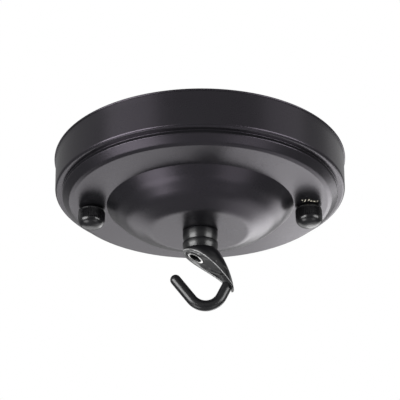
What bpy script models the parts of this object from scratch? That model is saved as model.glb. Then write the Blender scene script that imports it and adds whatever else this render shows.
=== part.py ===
"""Ceiling canopy for a hanging light.

A drawn steel cup covers the wiring hole. A crossbar under it is screwed to the ceiling, and two
screws hang from the crossbar's ends, through the cup, into knurled cap nuts. A hollow threaded
tube in the cup's centre carries a cast hook.

Metres, +Z up. The origin is where the canopy's axis meets the ceiling, so everything hangs below
it, and a depth is a distance down from the ceiling. The hook opens towards -X.
"""
import math

import bmesh
import bpy
from mathutils import Vector

MM = 0.001

# Running and seating clearance between pieces that meet
CLEARANCE = 0.3 * MM

# Canopy: a drawn cup with a stepped shoulder, a flat ledge and a domed middle
SHEET = 0.7 * MM
CANOPY_RADIUS = 53.6 * MM
RIM_LIP = 0.4 * MM
RIM_LIP_DEPTH = 0.8 * MM
WALL_DEPTH = 14.5 * MM
WALL_ROUND = 0.8 * MM
SHELF_WIDTH = 2.6 * MM
SHOULDER_WIDTH = 3.8 * MM
SHOULDER_FLANK_WIDTH = 1.3 * MM
SHOULDER_DEPTH = 1.9 * MM
SHOULDER_ROUND = 4.0 * MM
LEDGE_RISER = 0.8 * MM
LEDGE_WIDTH = 12.6 * MM
DOME_FLANK_WIDTH = 7.8 * MM
DOME_HEIGHT = 9.6 * MM
DOME_ROUND = 26.0 * MM
PRESS_ROUND = 0.3 * MM
CANOPY_SIDES = 64

# Crossbar: a steel strap, joggled down at its ends to leave room for the screw heads
BAR_THICKNESS = 1.5 * MM
BAR_WIDTH = 14.0 * MM
BAR_END_MARGIN = 6.3 * MM
JOGGLE_DEPTH = 4.0 * MM
JOGGLE_RUN = 4.0 * MM
BAR_ROUND = 1.5 * MM
HEAD_SEAT_MARGIN = 3.55 * MM
CEILING_SLOT_LENGTH = 11.0 * MM
CEILING_SLOT_WIDTH = 5.0 * MM

# Fixing screws, their lock nuts and the knurled cap nuts
CAP_NUT_FROM_DOME = 0.23 * MM
FIXING_THREAD = 4.0 * MM
FIXING_ENGAGEMENT = 4.7 * MM
SCREW_HEAD = 7.5 * MM
SCREW_HEAD_HEIGHT = 2.4 * MM
SCREW_SLOT_WIDTH = 1.0 * MM
SCREW_SLOT_DEPTH = 1.1 * MM
SCREW_POINT = 0.4 * MM
HEX_NUT_FLATS = 7.0 * MM
HEX_NUT_HEIGHT = 3.2 * MM
CAP_NUT_RADIUS = 4.87 * MM
CAP_NUT_LENGTH = 7.3 * MM
CAP_NUT_BORE_DEPTH = 5.5 * MM
CAP_NUT_CHAMFER = 0.45 * MM
CAP_NUT_CROWN = 2.6 * MM
CAP_NUT_CROWN_FLAT = 2.3 * MM
KNURL_RIBS = 36
KNURL_DEPTH = 0.22 * MM

# Hollow threaded tube with its nut and toothed washer
TUBE_THREAD = 9.9 * MM
TUBE_BORE = 7.6 * MM
TUBE_NUT_FLATS = 14.0 * MM
TUBE_NUT_HEIGHT = 3.5 * MM
TUBE_PROUD = 2.0 * MM
WASHER_RADIUS = 9.0 * MM
WASHER_THICKNESS = 0.8 * MM
WASHER_TEETH = 16
WASHER_TOOTH_DEPTH = 1.3 * MM

# Hook: a beaded collar, a hollow leaf and a round arm, cast as one
COLLAR_WALL = 0.65 * MM
COLLAR_FLARE = 0.55 * MM
COLLAR_BEAD_HEIGHTS = (4.2 * MM, 3.2 * MM)
COLLAR_BEAD_FULL = 0.35
COLLAR_EDGE_ROUND = 0.25 * MM
COLLAR_BORE_DEPTH = 6.5 * MM
LEAF_LENGTH = 15.1 * MM
LEAF_SPINE_BEND = 4.65 * MM
LEAF_SPINE_REACH = 5.25 * MM
LEAF_HALF_WIDTHS = (9.9 * MM, 2.45 * MM, 7.85 * MM)
LEAF_WALL = 0.9 * MM
LEAF_TIP_WALL = 0.45 * MM
LEAF_LEAST_HALF = 0.1 * MM
LEAF_HOLLOW = (0.02, 0.9)
RIM_CUT_DEPTH = 0.45 * MM
RIM_CUT_BEND = (3.25 * MM, 4.1 * MM)
RIM_CUT_END = (10.85 * MM, 13.85 * MM)
SCOOP_ANGLE = math.radians(28.0)
CABLE_HOLE = 4.6 * MM
CABLE_HOLE_CHAMFER = 0.25 * MM
CABLE_LIP_WIDTH = 0.55 * MM
CABLE_LIP_HEIGHT = 0.6 * MM
CABLE_HOLE_PLACE = (-1.7 * MM, 2.35 * MM)
ARM_DIAMETER = 3.85 * MM
ARM_BEND_RADIUS = 6.2 * MM
ARM_BEND_CENTRE = (1.7 * MM, 14.4 * MM)
ARM_ROOT_ANGLE = math.radians(62.6)
ARM_ROOT_LENGTH = 5.15 * MM
ARM_TIP_ANGLE = math.radians(52.2)
ARM_TIP_LENGTH = 9.3 * MM
ARM_ROOT_ROUND = 0.3 * MM

# Earth terminal on the crossbar
EARTH_FROM_SLOT = 4.5 * MM
EARTH_THREAD = 3.4 * MM
EARTH_HEAD = 6.5 * MM
EARTH_HEAD_HEIGHT = 2.2 * MM
EARTH_WASHER_RADIUS = 3.9 * MM
EARTH_WASHER_THICKNESS = 0.8 * MM

# Facets
ARC_STEP = math.radians(30.0)
LARGE_ARC_STEP = math.radians(10.0)
LARGE_ROUND = 3.0 * MM
SMALL_ROUND = 0.5 * MM
SMALLEST_REACH = 0.02 * MM
RUN_SHARE = 0.98
THREAD_SIDES = 24
SCREW_SIDES = 18
COLLAR_SIDES = 40
ARM_SIDES = 16
CUTTER_MARGIN = 4.0 * MM

# Places that follow from the sizes above
SHOULDER_RADIUS = CANOPY_RADIUS - SHELF_WIDTH
LEDGE_RADIUS = SHOULDER_RADIUS - SHOULDER_WIDTH
DOME_RADIUS = LEDGE_RADIUS - LEDGE_WIDTH
DOME_CROWN_RADIUS = DOME_RADIUS - DOME_FLANK_WIDTH
SHOULDER_BOTTOM = -WALL_DEPTH - SHOULDER_DEPTH
LEDGE_BOTTOM = SHOULDER_BOTTOM - LEDGE_RISER
DOME_BOTTOM = LEDGE_BOTTOM - DOME_HEIGHT
DOME_INSIDE = DOME_BOTTOM + SHEET
FIXING_X = DOME_RADIUS + CAP_NUT_RADIUS + CAP_NUT_FROM_DOME
FIXING_SIDES = (("left", -FIXING_X), ("right", FIXING_X))
FIXING_HOLE_RADIUS = FIXING_THREAD / 2 + CLEARANCE
TUBE_HOLE_RADIUS = TUBE_THREAD / 2 + CLEARANCE
BAR_FLAT_HALF = FIXING_X - SCREW_HEAD / 2 - HEAD_SEAT_MARGIN - JOGGLE_RUN
EARTH_X = BAR_FLAT_HALF - BAR_ROUND - EARTH_WASHER_RADIUS
CEILING_SLOT_X = EARTH_X - EARTH_FROM_SLOT - CEILING_SLOT_LENGTH / 2
BAR_HALF = FIXING_X + BAR_END_MARGIN
BAR_END_TOP = -JOGGLE_DEPTH
BAR_END_BOTTOM = BAR_END_TOP - BAR_THICKNESS
COLLAR_TOP = DOME_BOTTOM - CLEARANCE
COLLAR_BORE_FLOOR = COLLAR_TOP - COLLAR_BORE_DEPTH
COLLAR_NECK_RADIUS = TUBE_HOLE_RADIUS + COLLAR_WALL
COLLAR_RADIUS = COLLAR_NECK_RADIUS + COLLAR_FLARE
NECK_Z = COLLAR_TOP - sum(COLLAR_BEAD_HEIGHTS)


def clear_scene():
    """Removes every object, so that the model starts from nothing."""
    for old in list(bpy.data.objects):
        bpy.data.objects.remove(old, do_unlink=True)


def make_material(name, colour, roughness, metallic):
    """A plain finish: colour, roughness and metallic value."""
    material = bpy.data.materials.new(name)
    material.use_nodes = True
    shader = material.node_tree.nodes["Principled BSDF"]
    shader.inputs["Base Color"].default_value = (*colour, 1.0)
    shader.inputs["Roughness"].default_value = roughness
    shader.inputs["Metallic"].default_value = metallic
    return material


def add_object(name, bm, material, sharp_angle=35.0):
    """Turns a bmesh into a named object with outward faces and smooth shading."""
    bmesh.ops.recalc_face_normals(bm, faces=bm.faces)
    mesh = bpy.data.meshes.new(name)
    bm.to_mesh(mesh)
    bm.free()
    mesh.shade_smooth()
    mesh.set_sharp_from_angle(angle=math.radians(sharp_angle))
    if material:
        mesh.materials.append(material)
    made = bpy.data.objects.new(name, mesh)
    bpy.context.scene.collection.objects.link(made)
    return made


def as_cutter(tool):
    """Marks an object as a guide that only shapes its neighbour."""
    tool.hide_render = True
    tool.display_type = "WIRE"
    return tool


def combine(target, tool, operation):
    """Adds a live Boolean to the target."""
    modifier = target.modifiers.new(f"{operation.lower()}_{tool.name}", "BOOLEAN")
    modifier.operation = operation
    modifier.object = as_cutter(tool)


def cut_with_all(target, tools):
    """Cuts several tools out of the target at once, with one live Boolean."""
    group = bpy.data.collections.new(f"{target.name}_cutters")
    bpy.context.scene.collection.children.link(group)
    for tool in tools:
        group.objects.link(as_cutter(tool))
    modifier = target.modifiers.new("cuts", "BOOLEAN")
    modifier.operation = "DIFFERENCE"
    modifier.operand_type = "COLLECTION"
    modifier.collection = group


def loft(loops, ring=False):
    """Skins a run of equal loops; a ring joins the last loop to the first, otherwise the ends close."""
    bm = bmesh.new()
    rows = [[bm.verts.new(point) for point in loop] for loop in loops]
    pairs = list(zip(rows, rows[1:]))
    if ring:
        pairs.append((rows[-1], rows[0]))
    for near, far in pairs:
        for i, vertex in enumerate(near):
            after = (i + 1) % len(near)
            bm.faces.new((vertex, near[after], far[after], far[i]))
    if not ring:
        bm.faces.new(rows[0])
        bm.faces.new(rows[-1])
    return bm


def circle(radius, z, sides, x=0.0, start=0.0):
    """A level loop about a vertical axis at x; the radius may be a number or a function of the angle."""
    loop = []
    for i in range(sides):
        angle = start + 2 * math.pi * i / sides
        reach = radius(angle) if callable(radius) else radius
        loop.append(Vector((x + reach * math.cos(angle), reach * math.sin(angle), z)))
    return loop


def drill(name, radius, top, bottom, x=0.0, sides=THREAD_SIDES):
    """An upright cylinder for a hole, turned so that its corners miss the faces' own edges."""
    start = 0.37 * 2 * math.pi / sides
    return add_object(name, loft([circle(radius, z, sides, x, start) for z in (top, bottom)]), None)


def turn(profile, sides, ring=False):
    """A turned body: one level loop for each (radius, z) of the profile."""
    return loft([circle(radius, z, sides) for radius, z in profile], ring)


def prism(outline, low, high, axis):
    """Extrudes an outline, given in the plane across Y or Z, from low to high along that axis."""
    def place(point, along):
        return Vector((point[0], along, point[1])) if axis == "Y" else Vector((point[0], point[1], along))
    return loft([[place(point, low) for point in outline], [place(point, high) for point in outline]])


def offset_corners(corners, distance):
    """Moves an open outline of (x, y, round) corners to the right of its run, and its rounds with it."""
    points = [Vector(corner[:2]) for corner in corners]
    runs = [(b - a).normalized() for a, b in zip(points, points[1:])]
    sides = [Vector((run.y, -run.x)) * distance for run in runs]
    moved = [(*(points[0] + sides[0]), 0.0)]
    for i in range(1, len(points) - 1):
        before, after = runs[i - 1], runs[i]
        bend = before.x * after.y - before.y * after.x
        start = points[i] + sides[i - 1]
        gap = (points[i] + sides[i]) - start
        reach = (gap.x * after.y - gap.y * after.x) / bend
        grown = corners[i][2] + (distance if bend > 0 else -distance)
        moved.append((*(start + before * reach), max(grown, 0.0)))
    moved.append((*(points[-1] + sides[-1]), 0.0))
    return moved


def arc_steps(bend, radius, coarseness):
    """How many facets a round gets: one if it is tiny, more if it is large."""
    if radius < SMALL_ROUND:
        return 1
    step = LARGE_ARC_STEP if radius > LARGE_ROUND else ARC_STEP
    return max(1, round(bend / (step * coarseness)))


def round_corners(corners, coarseness=1.0):
    """Turns (x, y, round) corners into points. Two rounds share the run between them by their sizes."""
    def room(run, own, other):
        return RUN_SHARE * run.length * own / max(own + other, SMALLEST_REACH)

    points = [Vector(corners[0][:2])]
    for before, corner, after in zip(corners, corners[1:], corners[2:]):
        here = Vector(corner[:2])
        back = Vector(before[:2]) - here
        ahead = Vector(after[:2]) - here
        bend = math.pi - back.angle(ahead)
        reach = min(corner[2] * math.tan(bend / 2), room(back, corner[2], before[2]),
                    room(ahead, corner[2], after[2]))
        if reach < SMALLEST_REACH:
            points.append(here)
            continue
        start = here + back.normalized() * reach
        finish = here + ahead.normalized() * reach
        radius = reach / math.tan(bend / 2)
        middle = here + (back.normalized() + ahead.normalized()).normalized() * (radius / math.cos(bend / 2))
        count = arc_steps(bend, radius, coarseness)
        for i in range(count + 1):
            points.append(middle + (start - middle).slerp(finish - middle, i / count) * radius)
    points.append(Vector(corners[-1][:2]))
    return points


def canopy_corners():
    """The cup's outer side from the rim to the centre hole, as (radius, z, round)."""
    return [
        (CANOPY_RADIUS, 0.0, 0.0),
        (CANOPY_RADIUS, -WALL_DEPTH, WALL_ROUND),
        (SHOULDER_RADIUS, -WALL_DEPTH, PRESS_ROUND),
        (SHOULDER_RADIUS - SHOULDER_FLANK_WIDTH, SHOULDER_BOTTOM, SHOULDER_ROUND),
        (LEDGE_RADIUS + PRESS_ROUND, SHOULDER_BOTTOM, PRESS_ROUND / 2),
        (LEDGE_RADIUS, LEDGE_BOTTOM, PRESS_ROUND / 2),
        (DOME_RADIUS, LEDGE_BOTTOM, PRESS_ROUND),
        (DOME_CROWN_RADIUS, DOME_BOTTOM, DOME_ROUND),
        (TUBE_HOLE_RADIUS, DOME_BOTTOM, 0.0),
    ]


def make_canopy(material):
    """The drawn cup: one sheet turned about the axis, with a rolled lip and two screw holes."""
    outer = round_corners(canopy_corners())
    inner = round_corners(offset_corners(canopy_corners(), SHEET), coarseness=1.6)
    lip = [
        Vector((CANOPY_RADIUS + RIM_LIP / 2, 0.0)),
        Vector((CANOPY_RADIUS + RIM_LIP, -RIM_LIP_DEPTH / 4)),
        Vector((CANOPY_RADIUS + RIM_LIP, -RIM_LIP_DEPTH * 3 / 4)),
        Vector((CANOPY_RADIUS, -RIM_LIP_DEPTH)),
    ]
    profile = lip + outer[1:] + inner[::-1]
    canopy = add_object("canopy", turn(profile, CANOPY_SIDES, ring=True), material)
    for side, x in FIXING_SIDES:
        cutter = drill(f"canopy_hole_{side}", FIXING_HOLE_RADIUS, LEDGE_BOTTOM + SHEET + CUTTER_MARGIN,
                       LEDGE_BOTTOM - CUTTER_MARGIN, x=x)
        combine(canopy, cutter, "DIFFERENCE")
    return canopy


def slot_outline(x, length, width):
    """A slot with round ends, along X."""
    outline = []
    for side in (1, -1):
        middle = x + side * (length - width) / 2
        for i in range(9):
            angle = side * math.pi / 2 - math.pi * i / 8
            outline.append((middle + side * abs(math.cos(angle)) * width / 2, math.sin(angle) * width / 2))
    return outline


def make_crossbar(material):
    """The joggled strap, with two slots for the ceiling screws, an earth hole and two fixing holes."""
    top = [
        (-BAR_HALF, BAR_END_TOP, 0.0),
        (-BAR_FLAT_HALF - JOGGLE_RUN, BAR_END_TOP, BAR_ROUND),
        (-BAR_FLAT_HALF, 0.0, BAR_ROUND + BAR_THICKNESS),
        (BAR_FLAT_HALF, 0.0, BAR_ROUND + BAR_THICKNESS),
        (BAR_FLAT_HALF + JOGGLE_RUN, BAR_END_TOP, BAR_ROUND),
        (BAR_HALF, BAR_END_TOP, 0.0),
    ]
    outline = round_corners(top) + round_corners(offset_corners(top, BAR_THICKNESS))[::-1]
    bar = add_object("crossbar", prism(outline, -BAR_WIDTH / 2, BAR_WIDTH / 2, "Y"), material)
    low = -BAR_THICKNESS - CUTTER_MARGIN
    for side in (-1, 1):
        slot = slot_outline(side * CEILING_SLOT_X, CEILING_SLOT_LENGTH, CEILING_SLOT_WIDTH)
        name = "ceiling_slot_left" if side < 0 else "ceiling_slot_right"
        combine(bar, add_object(name, prism(slot, low, CUTTER_MARGIN, "Z"), None), "DIFFERENCE")
    earth_hole = drill("earth_hole", EARTH_THREAD / 2 + CLEARANCE, CUTTER_MARGIN, low, x=EARTH_X)
    combine(bar, earth_hole, "DIFFERENCE")
    for side, x in FIXING_SIDES:
        cutter = drill(f"bar_hole_{side}", FIXING_HOLE_RADIUS, BAR_END_TOP + CUTTER_MARGIN,
                       BAR_END_BOTTOM - CUTTER_MARGIN, x=x)
        combine(bar, cutter, "DIFFERENCE")
    return bar


def pan_head(radius, height, shaft_radius, shaft_length):
    """A screw standing on its tip: profile from the tip up to the head's crown, head seat at z = 0."""
    crown = [(radius * math.cos(math.radians(a)), height * (0.35 + 0.65 * math.sin(math.radians(a))))
             for a in (0, 30, 60, 80)]
    return [(shaft_radius - SCREW_POINT, -shaft_length), (shaft_radius, -shaft_length + SCREW_POINT),
            (shaft_radius, 0.0), (radius, 0.0)] + crown


def make_slotted_screw(name, radius, height, shaft_radius, shaft_length, x, seat_z, upwards, material):
    """A pan-head screw with a driver slot; upwards is 1 where its head is on top, -1 where it is below."""
    profile = [(r, seat_z + upwards * z) for r, z in pan_head(radius, height, shaft_radius, shaft_length)]
    bm = loft([circle(r, z, SCREW_SIDES, x) for r, z in profile])
    screw = add_object(name, bm, material)
    slot = [(x - SCREW_SLOT_WIDTH / 2, -2 * radius), (x + SCREW_SLOT_WIDTH / 2, -2 * radius),
            (x + SCREW_SLOT_WIDTH / 2, 2 * radius), (x - SCREW_SLOT_WIDTH / 2, 2 * radius)]
    floor = seat_z + upwards * (height - SCREW_SLOT_DEPTH)
    beyond = seat_z + upwards * (height + CUTTER_MARGIN)
    cutter = add_object(f"{name}_slot", prism(slot, min(floor, beyond), max(floor, beyond), "Z"), None)
    combine(screw, cutter, "DIFFERENCE")
    return screw


def make_hex_nut(name, flats, height, bore_radius, x, bottom, material):
    """A hexagon nut with both faces chamfered."""
    apothem = flats / 2
    face_radius = apothem * 0.96
    sixth = math.pi / 3

    def hexagon(angle):
        return apothem / math.cos((angle + sixth / 2) % sixth - sixth / 2)

    def shoulder(z, down):
        loop = circle(hexagon, z, THREAD_SIDES, x)
        for i, point in enumerate(loop):
            excess = hexagon(2 * math.pi * i / THREAD_SIDES) - face_radius
            point.z += down * excess * math.tan(math.radians(30.0))
        return loop

    top = bottom + height
    loops = [
        circle(bore_radius, bottom, THREAD_SIDES, x),
        circle(face_radius, bottom, THREAD_SIDES, x),
        shoulder(bottom, 1),
        shoulder(top, -1),
        circle(face_radius, top, THREAD_SIDES, x),
        circle(bore_radius, top, THREAD_SIDES, x),
    ]
    return add_object(name, loft(loops, ring=True), material, sharp_angle=20.0)


def cap_nut_loops(x, top):
    """The cap nut's loops, from the end of its blind bore, round its mouth and down over the crown."""
    sides = 2 * KNURL_RIBS

    def ribbed(angle):
        crest = round(angle / (2 * math.pi) * sides) % 2 == 0
        return CAP_NUT_RADIUS if crest else CAP_NUT_RADIUS - KNURL_DEPTH

    root = CAP_NUT_RADIUS - KNURL_DEPTH
    knurl_top = top - 2 * CAP_NUT_CHAMFER
    knurl_bottom = top - CAP_NUT_LENGTH + CAP_NUT_CROWN
    loops = [
        circle(FIXING_HOLE_RADIUS, top - CAP_NUT_BORE_DEPTH, sides, x),
        circle(FIXING_HOLE_RADIUS, top, sides, x),
        circle(CAP_NUT_RADIUS - CAP_NUT_CHAMFER, top, sides, x),
        circle(root, top - CAP_NUT_CHAMFER, sides, x),
        circle(ribbed, knurl_top, sides, x),
        circle(ribbed, knurl_bottom, sides, x),
    ]
    for degrees in (12, 36, 60, 90):
        angle = math.radians(degrees)
        reach = CAP_NUT_CROWN_FLAT + (root - CAP_NUT_CROWN_FLAT) * math.cos(angle)
        loops.append(circle(reach, knurl_bottom - CAP_NUT_CROWN * math.sin(angle), sides, x))
    return loops


def make_fixings(steel, black):
    """For each side: the screw hung from the crossbar, its lock nut, and the knurled cap nut."""
    screw_seat = BAR_END_TOP + CLEARANCE
    cap_top = LEDGE_BOTTOM - CLEARANCE
    shaft_length = screw_seat - (cap_top - FIXING_ENGAGEMENT)
    nut_bottom = BAR_END_BOTTOM - CLEARANCE - HEX_NUT_HEIGHT
    for side, x in FIXING_SIDES:
        make_slotted_screw(f"fixing_screw_{side}", SCREW_HEAD / 2, SCREW_HEAD_HEIGHT, FIXING_THREAD / 2,
                           shaft_length, x, screw_seat, 1, steel)
        make_hex_nut(f"fixing_lock_nut_{side}", HEX_NUT_FLATS, HEX_NUT_HEIGHT, FIXING_HOLE_RADIUS, x,
                     nut_bottom, steel)
        add_object(f"cap_nut_{side}", loft(cap_nut_loops(x, cap_top)), black)


def make_tube_set(steel):
    """The hollow tube, and the toothed washer and nut that clamp it to the cup's crown."""
    washer_bottom = DOME_INSIDE + CLEARANCE
    washer_top = washer_bottom + WASHER_THICKNESS
    nut_bottom = washer_top + CLEARANCE
    tube_top = nut_bottom + TUBE_NUT_HEIGHT + TUBE_PROUD
    tube_bottom = COLLAR_BORE_FLOOR + CLEARANCE
    chamfer = (TUBE_THREAD - TUBE_BORE) / 6
    tube = [
        (TUBE_BORE / 2, tube_top), (TUBE_THREAD / 2 - chamfer, tube_top),
        (TUBE_THREAD / 2, tube_top - chamfer), (TUBE_THREAD / 2, tube_bottom + chamfer),
        (TUBE_THREAD / 2 - chamfer, tube_bottom), (TUBE_BORE / 2, tube_bottom),
    ]
    add_object("threaded_tube", turn(tube, THREAD_SIDES, ring=True), steel)

    sides = 4 * WASHER_TEETH

    def toothed(angle):
        step = round(angle / (2 * math.pi) * sides) % 4
        return WASHER_RADIUS if step in (0, 1) else WASHER_RADIUS - WASHER_TOOTH_DEPTH

    washer = [circle(TUBE_HOLE_RADIUS, washer_bottom, sides), circle(toothed, washer_bottom, sides),
              circle(toothed, washer_top, sides), circle(TUBE_HOLE_RADIUS, washer_top, sides)]
    add_object("toothed_washer", loft(washer, ring=True), steel, sharp_angle=20.0)
    make_hex_nut("tube_nut", TUBE_NUT_FLATS, TUBE_NUT_HEIGHT, TUBE_HOLE_RADIUS, 0.0, nut_bottom, steel)


def collar_profile():
    """The hook's collar from its top face down: each bead is full at its top and rounds in to the neck."""
    profile = []
    top = COLLAR_TOP
    for height in COLLAR_BEAD_HEIGHTS:
        full = COLLAR_BEAD_FULL * height
        profile += [(COLLAR_RADIUS - COLLAR_EDGE_ROUND, top), (COLLAR_RADIUS, top - COLLAR_EDGE_ROUND)]
        for degrees in (0, 30, 55, 75, 90):
            angle = math.radians(degrees)
            profile.append((COLLAR_NECK_RADIUS + COLLAR_FLARE * math.cos(angle),
                            top - full - (height - full) * math.sin(angle)))
        top -= height
    profile[-1] = (COLLAR_NECK_RADIUS, NECK_Z - 2 * COLLAR_EDGE_ROUND)
    return profile


def blend(points, share):
    """A smooth curve led by its control values, at a share of its run."""
    last = len(points) - 1
    return sum(math.comb(last, i) * (1 - share) ** (last - i) * share ** i * point
               for i, point in enumerate(points))


def leaf_section(share, inset, start=0.0):
    """The leaf's level section at a share of its length: an oval that narrows and moves over to +X."""
    spine = COLLAR_RADIUS + blend((0.0, LEAF_SPINE_BEND, LEAF_SPINE_REACH), share)
    belly = -COLLAR_RADIUS + (2 * COLLAR_RADIUS + LEAF_SPINE_REACH) * share ** 1.9
    half_width = blend((COLLAR_RADIUS, *LEAF_HALF_WIDTHS), share) * math.sqrt(1 - share ** 5)
    z = NECK_Z - LEAF_LENGTH * share
    middle = (spine + belly) / 2
    reach = max((spine - belly) / 2 - inset, LEAF_LEAST_HALF)
    width = max(half_width - inset, LEAF_LEAST_HALF)
    return [Vector((middle + reach * math.cos(a), width * math.sin(a), z))
            for a in (2 * math.pi * (i + start) / COLLAR_SIDES for i in range(COLLAR_SIDES))]


def make_leaf_form():
    """The leaf before its hollow is cut: level sections under a softened top edge."""
    top = [point * ((COLLAR_RADIUS - COLLAR_EDGE_ROUND) / COLLAR_RADIUS) for point in leaf_section(0.0, 0.0)]
    for point in top:
        point.z = NECK_Z
    edge = [point - Vector((0.0, 0.0, COLLAR_EDGE_ROUND)) for point in leaf_section(0.0, 0.0)]
    shares = [(i / 14) ** 0.9 for i in range(1, 15)]
    return add_object("leaf_form", loft([top, edge] + [leaf_section(share, 0.0) for share in shares]), None)


def cable_hole_axis():
    """The middle of the cable hole's mouth on the sloping face, and the way out of the hole."""
    mouth = Vector((CABLE_HOLE_PLACE[0], 0.0, NECK_Z - CABLE_HOLE_PLACE[1]))
    return mouth, Vector((-math.sin(SCOOP_ANGLE), 0.0, -math.cos(SCOOP_ANGLE)))


def cable_hole_ring(reach, radius, start):
    """A loop round the cable hole's axis, at a reach out from the sloping face."""
    mouth, run = cable_hole_axis()
    side = Vector((math.cos(SCOOP_ANGLE), 0.0, -math.sin(SCOOP_ANGLE)))
    across = Vector((0.0, 1.0, 0.0))
    turns = (2 * math.pi * (i + start) / THREAD_SIDES for i in range(THREAD_SIDES))
    return [mouth + run * reach + (side * math.cos(a) + across * math.sin(a)) * radius for a in turns]


def make_scoop_cutter():
    """The hollow of the leaf: the horn inside its wall, below the sloping face and round the lip."""
    first, last = LEAF_HOLLOW
    shares = [first + (last - first) * i / 13 for i in range(14)]
    bm = loft([leaf_section(s, LEAF_WALL + (LEAF_TIP_WALL - LEAF_WALL) * s, start=0.5) for s in shares])
    bmesh.ops.recalc_face_normals(bm, faces=bm.faces)
    mouth, run = cable_hole_axis()
    everything = list(bm.verts) + list(bm.edges) + list(bm.faces)
    cut = bmesh.ops.bisect_plane(bm, geom=everything, plane_co=mouth, plane_no=run, clear_inner=True)
    edges = [item for item in cut["geom_cut"] if isinstance(item, bmesh.types.BMEdge)]
    bmesh.ops.contextual_create(bm, geom=edges)
    scoop = add_object("scoop_cutter", bm, None)
    lip = CABLE_HOLE / 2 + CABLE_LIP_WIDTH
    soft = CABLE_HOLE_CHAMFER
    stations = ((-CLEARANCE, lip), (CABLE_LIP_HEIGHT - soft, lip), (CABLE_LIP_HEIGHT, lip - soft))
    loops = [cable_hole_ring(reach, radius, 0.1) for reach, radius in stations]
    combine(scoop, add_object("cable_lip", loft(loops), None), "DIFFERENCE")
    return scoop


def make_rim_cutter():
    """Everything on the lower left of the leaf's rim: one curve of three points, then straight down."""
    points = ((-COLLAR_RADIUS, RIM_CUT_DEPTH), RIM_CUT_BEND, RIM_CUT_END)
    start, bend, end = (Vector((x, NECK_Z - down)) for x, down in points)
    curve = [start * (1 - t) ** 2 + bend * 2 * t * (1 - t) + end * t ** 2
             for t in (i / 12 for i in range(13))]
    before = start + (start - bend).normalized() * CUTTER_MARGIN
    beyond = end - Vector((0.0, CUTTER_MARGIN))
    corner = Vector((before.x, beyond.y))
    outline = [before] + curve + [beyond, corner]
    reach = max(LEAF_HALF_WIDTHS) + CUTTER_MARGIN
    return add_object("rim_cutter", prism(outline, -reach, reach, "Y"), None)


def arm_path():
    """The arm's centreline in X and Z, from its root in the leaf, round the bend, to its tip."""
    centre = Vector((ARM_BEND_CENTRE[0], NECK_Z - ARM_BEND_CENTRE[1]))
    bend = []
    turn_angle = ARM_ROOT_ANGLE + ARM_TIP_ANGLE
    steps = 12
    for i in range(steps + 1):
        angle = ARM_ROOT_ANGLE - turn_angle * i / steps
        bend.append(centre + Vector((math.sin(angle), -math.cos(angle))) * ARM_BEND_RADIUS)
    root = bend[0] + Vector((math.cos(ARM_ROOT_ANGLE), math.sin(ARM_ROOT_ANGLE))) * ARM_ROOT_LENGTH
    tip = bend[-1] + Vector((-math.cos(ARM_TIP_ANGLE), math.sin(ARM_TIP_ANGLE))) * ARM_TIP_LENGTH
    return [root] + bend + [tip]


def make_arm():
    """The round arm, with a softened root and a ball-shaped tip."""
    path = arm_path()
    radius = ARM_DIAMETER / 2
    loops = []

    def add_loop(middle, run, reach):
        side = Vector((run.y, -run.x))
        loop = []
        for i in range(ARM_SIDES):
            angle = 2 * math.pi * i / ARM_SIDES
            flat = middle + side * (reach * math.cos(angle))
            loop.append(Vector((flat.x, reach * math.sin(angle), flat.y)))
        loops.append(loop)

    first = (path[1] - path[0]).normalized()
    add_loop(path[0], first, radius - ARM_ROOT_ROUND)
    add_loop(path[0] + first * ARM_ROOT_ROUND, first, radius)
    for before, here, after in zip(path, path[1:], path[2:]):
        add_loop(here, (after - before).normalized(), radius)
    last = (path[-1] - path[-2]).normalized()
    for degrees in (0, 25, 50, 75):
        angle = math.radians(degrees)
        add_loop(path[-1] + last * (radius * math.sin(angle)), last, radius * math.cos(angle))
    return add_object("arm_form", loft(loops), None)


def make_cable_hole():
    """The hole from the lip on the sloping face up into the collar's bore, with a chamfered mouth."""
    radius = CABLE_HOLE / 2
    rise = COLLAR_BORE_FLOOR - (NECK_Z - CABLE_HOLE_PLACE[1])
    deep = rise / math.cos(SCOOP_ANGLE) + CABLE_HOLE
    chamfer = CABLE_LIP_HEIGHT - CABLE_HOLE_CHAMFER
    stations = ((-deep, radius), (chamfer, radius), (chamfer + CUTTER_MARGIN, radius + CUTTER_MARGIN))
    loops = [cable_hole_ring(reach, wide, 0.3) for reach, wide in stations]
    return add_object("cable_hole", loft(loops), None)


def make_hook(material):
    """The cast hook: collar, hollow leaf with its cable hole, and arm."""
    hook = add_object("hook", turn(collar_profile(), COLLAR_SIDES), material)
    combine(hook, make_leaf_form(), "UNION")
    bore = drill("collar_bore", TUBE_HOLE_RADIUS, COLLAR_TOP + CUTTER_MARGIN, COLLAR_BORE_FLOOR)
    cut_with_all(hook, (bore, make_scoop_cutter(), make_rim_cutter(), make_cable_hole()))
    combine(hook, make_arm(), "UNION")
    return hook


def make_earth_terminal(steel, brass):
    """The earth screw, head down under the crossbar, with a washer to clamp the wire."""
    washer_top = -BAR_THICKNESS - CLEARANCE
    washer_bottom = washer_top - EARTH_WASHER_THICKNESS
    seat = washer_bottom - CLEARANCE
    hole = EARTH_THREAD / 2 + CLEARANCE
    loops = [circle(hole, washer_top, THREAD_SIDES, EARTH_X),
             circle(EARTH_WASHER_RADIUS, washer_top, THREAD_SIDES, EARTH_X),
             circle(EARTH_WASHER_RADIUS, washer_bottom, THREAD_SIDES, EARTH_X),
             circle(hole, washer_bottom, THREAD_SIDES, EARTH_X)]
    add_object("earth_washer", loft(loops, ring=True), steel)
    shaft_length = -seat - CLEARANCE
    make_slotted_screw("earth_screw", EARTH_HEAD / 2, EARTH_HEAD_HEIGHT, EARTH_THREAD / 2, shaft_length,
                       EARTH_X, seat, -1, brass)


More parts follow.
